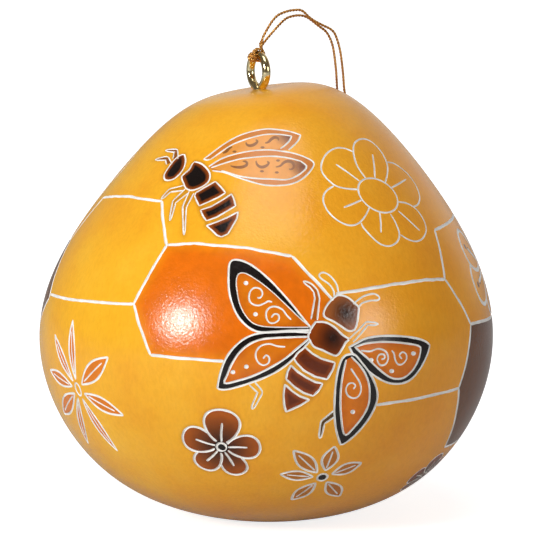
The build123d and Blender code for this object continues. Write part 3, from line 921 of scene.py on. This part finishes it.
def finishMaterial(tree, colour, rough, bump=None, **sockets):
    shader = node(tree, "ShaderNodeBsdfPrincipled", {"Base Color": colour, "Roughness": rough, **sockets})
    if bump is not None:
        tree.links.new(bump, shader.inputs["Normal"])
    node(tree, "ShaderNodeOutputMaterial", {"Surface": shader.outputs["BSDF"]})


# one tint here is painted shade: it darkens the skin's right side, away from the key lamp
rindLook = dict(pale=tone(254, 194, 52), gold=tone(252, 185, 40), amber=tone(248, 175, 36),
                glow=tone(128, 46, 4), paintedShadeTint=np.array([0.98, 0.79, 0.8]), fleck=np.array([0.90, 0.85, 0.78]),
                wash=np.array([0.78, 0.76, 0.74]), clear=np.ones(3), roughSkin=0.17, roughCut=0.8,
                cloudScale=0.085, fleckScale=1.9, washScale=0.5, grainScale=2.2, grain=0.42, paintedShadeReach=26.0)


# stained rind: cloudy gold with fine flecks, painted shade that turns it darker and more orange towards the
# viewer's right, the stains over it, cut lines rough and pale
def rindMaterial():
    look = rindLook
    material, tree, place = newMaterial("stainedRind")
    skinTone = ramp(tree, noise(tree, place, look["cloudScale"], 4.0),
                    [(0.30, look["amber"]), (0.50, look["gold"]), (0.72, look["pale"])])
    drawnUp = node(tree, "ShaderNodeMapping", {"Scale": (1.0, 1.0, 0.4), "Vector": place}).outputs["Vector"]
    flecks = ramp(tree, noise(tree, drawnUp, look["fleckScale"], 3.0, 0.7),
                  [(0.36, look["fleck"]), (0.60, look["clear"])])
    skinTone = mixed(tree, 0.55, skinTone, flecks, "MULTIPLY")
    # painted shade: the skin colour is multiplied down, more in green and blue, from the left side to the right
    # side, away from the key lamp
    across = node(tree, "ShaderNodeSeparateXYZ", {"Vector": place}).outputs["X"]
    paintedShadeShare = ranged(tree, across, 0.0, 1.0, -look["paintedShadeReach"], look["paintedShadeReach"])
    skinTone = mixed(tree, paintedShadeShare, skinTone, mixed(tree, 1.0, skinTone, rgba(look["paintedShadeTint"]), "MULTIPLY"))
    paint = node(tree, "ShaderNodeAttribute", attribute_name="paint").outputs
    wash = ramp(tree, noise(tree, place, look["washScale"], 4.0, 0.6),
                [(0.30, look["wash"]), (0.62, look["clear"])])
    colour = mixed(tree, paint["Alpha"], skinTone, mixed(tree, 0.6, paint["Color"], wash, "MULTIPLY"))
    scorch = node(tree, "ShaderNodeAttribute", attribute_name="scorch").outputs["Fac"]
    cut = node(tree, "ShaderNodeAttribute", attribute_name="cut").outputs["Fac"]
    glow = reckoned(tree, "MULTIPLY", reckoned(tree, "POWER", scorch, 1.7),
                    reckoned(tree, "SUBTRACT", 1.0, cut))
    colour = mixed(tree, glow, colour, rgba(look["glow"]))
    rough = ranged(tree, cut, look["roughSkin"], look["roughCut"])
    bump = bumped(tree, noise(tree, place, look["grainScale"], 3.0, 0.6), look["grain"], 0.00012)
    finishMaterial(tree, colour, rough, bump, **{"Specular IOR Level": 0.5})
    return material


gourd, used = makePiece("carvedRind", skinPoints, skinFaces, rindMaterial())
rows = len(skinFaces) - len(faces)
paintLayer = gourd.data.color_attributes.new("paint", "FLOAT_COLOR", "CORNER")
paintLayer.data.foreach_set("color", np.concatenate([corner.reshape(-1, 4), np.zeros((rows * 3, 4))]).ravel())
cutLayer = gourd.data.attributes.new("cut", "FLOAT", "FACE")
cutLayer.data.foreach_set("value", np.concatenate([isGroove.astype(float), np.zeros(rows)]))
scorchLayer = gourd.data.attributes.new("scorch", "FLOAT", "POINT")
scorchLayer.data.foreach_set("value", np.concatenate([haloAt, np.zeros(len(skinPoints) - len(flat))])[used])
gourd.data.set_sharp_from_angle(angle=math.radians(26))
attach(gourd, "gourd")
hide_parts("gourd_shell")
print("carved rind:", len(gourd.data.polygons), "triangles")

eyeForm = dict(wire=1.42, bore=4.0, lift=2.95, neckBend=1.2, endGap=0.2, shank=7.0, point=1.8, tip=0.15,
               turn=-61.0, shift=-0.35, pitch=0.55, threadDepth=0.1, plain=2.2, runIn=0.8, filed=0.86, sides=28)
scarEnds = gourdPoint(np.radians([90.0, -90.0]), scarAngle)
scarWay = (scarEnds[0] - scarEnds[1]) / (2 * gourdForm["scarRadius"])
crown = scarEnds.mean(0) + scarWay * eyeForm["shift"]


# from the eye's own frame, +X along the ring and +Y along the thread's fall, to the part's frame
def fromEye(points):
    flatPart = spun(points[..., :2], eyeForm["turn"])
    return np.concatenate([flatPart, points[..., 2:3]], -1) + crown


# two directions square to a path, carried along it without twist
def framesAlong(path):
    way = np.gradient(path, axis=0)
    way /= np.linalg.norm(way, axis=1, keepdims=True)
    across = np.cross(way[0], [0.31, 0.89, 0.33])
    frames = []
    for step in way:
        across = across - step * (across @ step)
        across = across / np.linalg.norm(across)
        frames.append(across)
    one = np.array(frames)
    return one, np.cross(way, one)


# rings of a profile carried along a path, closed at both ends
def carry(path, profile):
    one, two = framesAlong(path)
    points = path[:, None] + one[:, None] * profile[..., 0:1] + two[:, None] * profile[..., 1:2]
    n, m = points.shape[:2]
    grid = np.arange(n * m).reshape(n, m)
    tris = np.concatenate([gridFaces(grid), fan(grid[0], n * m)[:, ::-1], fan(grid[-1], n * m + 1)])
    return np.concatenate([points.reshape(-1, 3), path[:1], path[-1:]]), tris


# several meshes as one: the point numbers of each start after those before it
def joined(parts):
    starts = np.cumsum([0] + [len(points) for points, tris in parts])
    return (np.concatenate([points for points, tris in parts]),
            np.concatenate([tris + start for (points, tris), start in zip(parts, starts)]))


def circle(sides, radius):
    a = np.linspace(0, 2 * np.pi, sides, endpoint=False)
    return np.stack([np.cos(a), np.sin(a)], -1) * np.asarray(radius)[..., None, None]


# shank, neck bend and ring in one line; the radius draws in at the point and a thread winds on the shank
def eyeWire():
    ringRadius = (eyeForm["bore"] + eyeForm["wire"]) / 2
    neck = eyeForm["neckBend"]
    neckTurn = math.acos(neck / (ringRadius + neck))
    top = eyeForm["lift"] - (ringRadius + neck) * math.sin(neckTurn)
    low = -eyeForm["shank"] - eyeForm["point"]
    up = np.linspace(low, top, 150, endpoint=False)
    shank = np.stack([0 * up, 0 * up, up], -1)
    a = np.linspace(0, neckTurn, 12, endpoint=False)
    bend = np.stack([neck * (np.cos(a) - 1), 0 * a, top + neck * np.sin(a)], -1)
    neckLine = np.concatenate([shank[-40:], bend])
    sweep = np.arange(0, -1.6, -0.01)
    ends = np.stack([ringRadius * np.cos(sweep), 0 * sweep, eyeForm["lift"] + ringRadius * np.sin(sweep)], -1)
    room = np.linalg.norm(ends[:, None] - neckLine[None], axis=-1).min(1)
    last = sweep[np.nonzero(room <= eyeForm["wire"] + eyeForm["endGap"])[0][0]]
    a = np.linspace(math.pi + neckTurn, last, 130)
    ring = np.stack([ringRadius * np.cos(a), 0 * a, eyeForm["lift"] + ringRadius * np.sin(a)], -1)
    path = np.concatenate([shank, bend, ring])
    taper = np.clip((path[:, 2] - low) / eyeForm["point"], 0, 1)
    taper[len(shank):] = 1.0
    radius = eyeForm["tip"] / 2 + (eyeForm["wire"] - eyeForm["tip"]) / 2 * taper
    radius[-1] *= eyeForm["filed"]    # edge of the cut end
    wound = np.clip((top - eyeForm["plain"] - path[:, 2]) / eyeForm["runIn"], 0, 1)
    wound[len(shank):] = 0.0
    sides = np.linspace(0, 2 * np.pi, eyeForm["sides"], endpoint=False)
    phase = (path[:, 2:3] / eyeForm["pitch"] + sides / (2 * np.pi)) % 1.0
    cutIn = eyeForm["threadDepth"] * wound[:, None] * taper[:, None] * (1 - np.abs(2 * phase - 1))
    profile = circle(eyeForm["sides"], 1.0)[None] * (radius[:, None] - cutIn)[..., None]
    return path, profile


# polished brass: warm metal, cloudy and a little duller in places
def brassMaterial():
    material, tree, place = newMaterial("polishedBrass")
    cloud = noise(tree, place, 1.1, 4.0)
    colour = ramp(tree, cloud, [(0.35, tone(220, 200, 140)), (0.65, tone(244, 230, 186))])
    finishMaterial(tree, colour, ranged(tree, cloud, 0.07, 0.16), Metallic=1.0)
    return material


eyePath, eyeProfile = eyeWire()
eyePoints, eyeFaces = carry(eyePath, eyeProfile)
eye, _ = makePiece("screwEye", fromEye(eyePoints), eyeFaces, brassMaterial())
eye.data.set_sharp_from_angle(angle=math.radians(40))
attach(eye, "gourd")
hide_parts("screw_eye")
print("screw eye:", len(eye.data.polygons), "triangles")

threadForm = dict(diameter=0.45, ply=0.135, offset=0.105, lay=1.15, sides=8, step=0.12)
loopRoute = [(0.40, 0.30, 1.30), (0.40, 0.30, 2.35), (0.95, 0.45, 3.60), (2.90, 0.45, 6.35),
             (4.95, 0.45, 7.10), (6.45, 0.45, 7.30), (8.10, 0.45, 7.30), (9.45, 0.45, 5.90),
             (11.60, 0.50, 4.75), (14.05, 0.50, 3.75), (14.95, 0.30, 2.15), (15.70, 0.00, 0.30),
             (16.35, -0.50, -1.95), (17.05, -1.20, -4.55), (17.60, -1.80, -7.40), (18.90, -2.30, -9.10),
             (21.00, -2.70, -11.20), (24.50, -3.20, -15.20), (28.50, -3.70, -20.30), (31.80, -4.00, -25.10),
             (33.90, -4.20, -28.50), (35.10, -5.00, -30.90), (34.60, -7.60, -30.90), (33.00, -8.40, -28.40),
             (31.00, -8.20, -25.20), (28.00, -7.20, -20.70), (24.00, -6.00, -15.40), (20.20, -4.80, -11.00),
             (18.00, -3.80, -8.80), (16.90, -3.00, -7.20), (16.30, -2.20, -4.90), (15.90, -1.70, -3.20),
             (15.30, -1.20, -0.80), (14.75, -0.80, 0.95), (14.05, -0.60, 2.40), (13.20, -0.50, 3.55),
             (12.05, -0.50, 4.25), (10.70, -0.50, 5.25), (9.40, -0.50, 6.10), (8.05, -0.50, 6.35),
             (6.90, -0.50, 6.25), (5.55, -0.45, 5.95), (4.35, -0.45, 5.00), (3.10, -0.40, 3.85),
             (1.60, -0.35, 2.40), (0.65, -0.30, 1.35)]
hitch = np.array([0.0, 0.0, eyeForm["lift"] + (eyeForm["bore"] + eyeForm["wire"]) / 2])


# route points are given along the fall, across it and up from the ring's top wire
def fromHitch(points):
    return fromEye(np.asarray(points, float)[..., [1, 0, 2]] + hitch)


# points of the route's own spline, read from a bare curve
def splinePoints(route):
    curve = bpy.data.curves.new("routeLine", "CURVE")
    curve.dimensions = "3D"
    curve.resolution_u = 24
    spline = curve.splines.new("NURBS")
    spline.points.add(len(route) - 1)
    spline.points.foreach_set("co", np.concatenate([route, np.ones((len(route), 1))], 1).ravel())
    spline.order_u = 3
    spline.use_endpoint_u = True
    holder = bpy.data.objects.new("routeLine", curve)
    bpy.context.scene.collection.objects.link(holder)
    mesh = bpy.data.meshes.new_from_object(holder)
    points = np.empty(len(mesh.vertices) * 3)
    mesh.vertices.foreach_get("co", points)
    bpy.data.objects.remove(holder)
    bpy.data.meshes.remove(mesh)
    bpy.data.curves.remove(curve)
    return points.reshape(-1, 3)


def evenly3(points, step):
    run = np.concatenate([[0], np.cumsum(np.linalg.norm(np.diff(points, axis=0), axis=1))])
    at = np.linspace(0, run[-1], int(run[-1] / step) + 2)
    return np.stack([np.interp(at, run, points[:, k]) for k in range(3)], -1), at


# two plies wound round each other: each runs on a helix round the thread's middle line
def twistedThread(path):
    path, run = evenly3(path, threadForm["step"])
    one, two = framesAlong(path)
    plies = []
    for half in (0.0, math.pi):
        a = (2 * math.pi * run / threadForm["lay"] + half)[:, None]
        ply = path + threadForm["offset"] * (one * np.cos(a) + two * np.sin(a))
        plies.append(carry(ply, circle(threadForm["sides"], np.full(len(ply), threadForm["ply"]))))
    return joined(plies)


# gold-coloured thread: bright metallic film, mottled with darker spots
def threadMaterial():
    material, tree, place = newMaterial("goldThread")
    fine = noise(tree, place, 5.0, 3.0)
    colour = ramp(tree, fine,
                  [(0.32, tone(150, 88, 36)), (0.52, tone(206, 146, 66)), (0.70, tone(244, 206, 130))])
    finishMaterial(tree, colour, ranged(tree, fine, 0.42, 0.28), bumped(tree, fine, 0.3, 0.00004),
                   Metallic=0.75)
    return material


threadLook = threadMaterial()
routeLine = splinePoints(fromHitch(loopRoute))
loopPoints, loopFaces = twistedThread(routeLine)
loop, _ = makePiece("threadLoop", loopPoints, loopFaces, threadLook)
loopLength = float(np.linalg.norm(np.diff(routeLine, axis=0), axis=1).sum())
print("thread loop:", round(loopLength, 1), "mm,", len(loop.data.polygons), "triangles")

knotForm = dict(turnRadius=0.99, turns=2.3, spread=0.62, ball=0.64, ballReach=1.45, ballSide=0.6,
                ballDrop=0.3, ballWinds=7, ballWaves=3, neckRadius=0.2, neckFoot=0.9, neckTop=2.3,
                neckTurns=0.8, neckOut=0.45, neckLean=0.15)


# knot: turns round the ring's wire, a wound ball of the tied ends beside it, two strands of the neck entwined
def knotLines():
    s = np.linspace(0, 1, 160)
    a = 2 * np.pi * knotForm["turns"] * s + 1.0
    turns = np.stack([knotForm["spread"] * (s - 0.5), knotForm["turnRadius"] * np.cos(a),
                      knotForm["turnRadius"] * np.sin(a)], -1)
    s = np.linspace(0, 1, 260)
    a = 2 * np.pi * knotForm["ballWinds"] * s
    b = 1.15 * np.sin(2 * np.pi * knotForm["ballWaves"] * s + 0.4)
    ball = knotForm["ball"] * np.stack([np.cos(a) * np.cos(b), np.sin(a) * np.cos(b), 1.05 * np.sin(b)], -1)
    ball += [knotForm["ballSide"], -knotForm["ballReach"], -knotForm["ballDrop"]]
    s = np.linspace(0, 1, 60)
    strands = []
    for start in (0.0, math.pi):
        a = 2 * np.pi * knotForm["neckTurns"] * (s - 1) + start
        across = knotForm["neckRadius"] * np.cos(a)
        out = knotForm["neckOut"] + knotForm["neckRadius"] * np.sin(a) + knotForm["neckLean"] * s
        up = knotForm["neckFoot"] + (knotForm["neckTop"] - knotForm["neckFoot"]) * s
        strands.append(np.stack([across, out, up], -1))
    return turns, ball, *strands


knotPoints, knotFaces = joined([twistedThread(fromEye(path + hitch)) for path in knotLines()])
knot, _ = makePiece("threadKnot", knotPoints, knotFaces, threadLook)
print("knot:", len(knot.data.polygons), "triangles")
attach(knot, "hanger")
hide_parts("hanger_knot")
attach(loop, "hanger")
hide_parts("hanger_loop")


# dry seed coat, for the seeds as they come
def seedMaterial():
    material, tree, place = newMaterial("drySeedCoat")
    streaks = noise(tree, place, 0.9, 5.0)
    colour = ramp(tree, streaks, [(0.3, tone(168, 138, 92)), (0.7, tone(222, 202, 160))])
    finishMaterial(tree, colour, 0.7, bumped(tree, streaks, 0.4, 0.0001))
    return material


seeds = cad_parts["gourd_seeds"]
seeds.data.materials.clear()
seeds.data.materials.append(seedMaterial())

# each lamp: place, width, height, power
studio = dict(floor=2.4, key=((-0.613, -0.613, 0.343), 0.16, 0.2, 5.7),
              fill=((0.75, -0.55, 0.30), 0.3, 0.3, 1.6), top=((0.0, -0.25, 0.9), 0.5, 0.5, 2.2),
              back=((0.3, 0.9, 0.6), 1.2, 1.2, 1.2), lampAim=0.036,
              sky=0.16, floorGlow=0.82, front=0.06, skyMirror=0.32, floorMirror=0.12, floorDim=0.2,
              warm=tone(255, 238, 220), leftMirror=0.55, rightMirror=1.3)


# 1 for what the camera sees, a share of it for what a mirror or glass sees, 0 for light that falls on things
def whiteRay(tree, rays, mirror):
    bounced = reckoned(tree, "MAXIMUM", rays["Is Glossy Ray"], rays["Is Transmission Ray"])
    return reckoned(tree, "MAXIMUM", rays["Is Camera Ray"], reckoned(tree, "MULTIPLY", bounced, mirror))


# pale matte floor; what the camera sees of it is lifted to white, fully so away from the gourd
def floorMaterial():
    material, tree, place = newMaterial("paleFloor")
    rays = node(tree, "ShaderNodeLightPath").outputs
    colour = ramp(tree, noise(tree, place, 0.02, 3.0),
                  [(0.3, tone(207, 207, 207)), (0.7, tone(211, 211, 211))])
    away = node(tree, "ShaderNodeVectorMath", {0: place}, operation="LENGTH").outputs["Value"]
    lift = ranged(tree, away, studio["floorGlow"], 1.0, 50.0, 260.0)
    shown = reckoned(tree, "MULTIPLY", lift, whiteRay(tree, rays, studio["floorMirror"]))
    glow = node(tree, "ShaderNodeEmission", {"Color": (1, 1, 1, 1), "Strength": shown})
    matte = node(tree, "ShaderNodeBsdfDiffuse", {"Color": colour})
    both = node(tree, "ShaderNodeAddShader", {0: matte.outputs["BSDF"], 1: glow.outputs["Emission"]})
    dim = reckoned(tree, "MULTIPLY", rays["Is Glossy Ray"], studio["floorDim"])
    kept = node(tree, "ShaderNodeMixShader", {0: dim, 1: both.outputs["Shader"]})
    node(tree, "ShaderNodeOutputMaterial", {"Surface": kept.outputs["Shader"]})
    return material


half = studio["floor"]
floorMesh = bpy.data.meshes.new("paleFloor")
floorMesh.from_pydata([(-half, -half, 0), (half, -half, 0), (half, half, 0), (-half, half, 0)], [],
                      [(0, 1, 2, 3)])
floorMesh.materials.append(floorMaterial())
floorPiece = bpy.data.objects.new("paleFloor", floorMesh)
bpy.context.scene.collection.objects.link(floorPiece)

world = bpy.data.worlds.new("studioSky")
bpy.context.scene.world = world
world.use_nodes = True
sky = world.node_tree
sky.nodes.clear()
rays = node(sky, "ShaderNodeLightPath").outputs
view = node(sky, "ShaderNodeTexCoord").outputs["Generated"]
look = node(sky, "ShaderNodeSeparateXYZ", {"Vector": view}).outputs
# a mirror sees the sky bright behind the gourd, brighter to the right, dim in front
mirrored = reckoned(sky, "MULTIPLY", ranged(sky, look["Y"], studio["front"], 1.0, 0.1, 0.95),
                    ranged(sky, look["X"], studio["leftMirror"], studio["rightMirror"], -0.5, 0.5))
shown = reckoned(sky, "MAXIMUM", mirrored, rays["Is Camera Ray"])
strength = ranged(sky, whiteRay(sky, rays, studio["skyMirror"]), studio["sky"], shown)
tint = mixed(sky, rays["Is Glossy Ray"], (1, 1, 1, 1), rgba(studio["warm"]))
glow = node(sky, "ShaderNodeBackground", {"Color": tint, "Strength": strength})
node(sky, "ShaderNodeOutputWorld", {"Surface": glow.outputs["Background"]})


# soft box of a given size that looks at the middle of the gourd
def softBox(name, place, wide, high, power):
    light = bpy.data.lights.new(name, "AREA")
    light.shape = "RECTANGLE"
    light.energy, light.size, light.size_y = power, wide, high
    lamp = bpy.data.objects.new(name, light)
    lamp.location = place
    way = Vector((0, 0, studio["lampAim"])) - Vector(place)
    lamp.rotation_euler = way.to_track_quat("-Z", "Y").to_euler()
    bpy.context.scene.collection.objects.link(lamp)


for name in ("key", "fill", "top", "back"):
    softBox(name + "Box", *studio[name])

lift = math.radians(viewer["elevation"])
target = Vector((0, 0, viewer["target"] * mm))
backWay, upWay = Vector((0, -math.cos(lift), math.sin(lift))), Vector((0, math.sin(lift), math.cos(lift)))
lens = bpy.data.cameras.new("viewer")
lens.sensor_width, lens.lens = 36.0, 36.0 * viewer["focus"] / viewer["frame"]
lens.clip_start = 0.01
camera = bpy.data.objects.new("viewer", lens)
camera.location = target + backWay * viewer["distance"] * mm
aim = target + upWay * viewer["aim"] * mm
camera.rotation_euler = (aim - camera.location).to_track_quat("-Z", "Y").to_euler()
bpy.context.scene.collection.objects.link(camera)
bpy.context.scene.camera = camera
bpy.context.scene.view_settings.view_transform = "Standard"

bpy.context.view_layer.update()
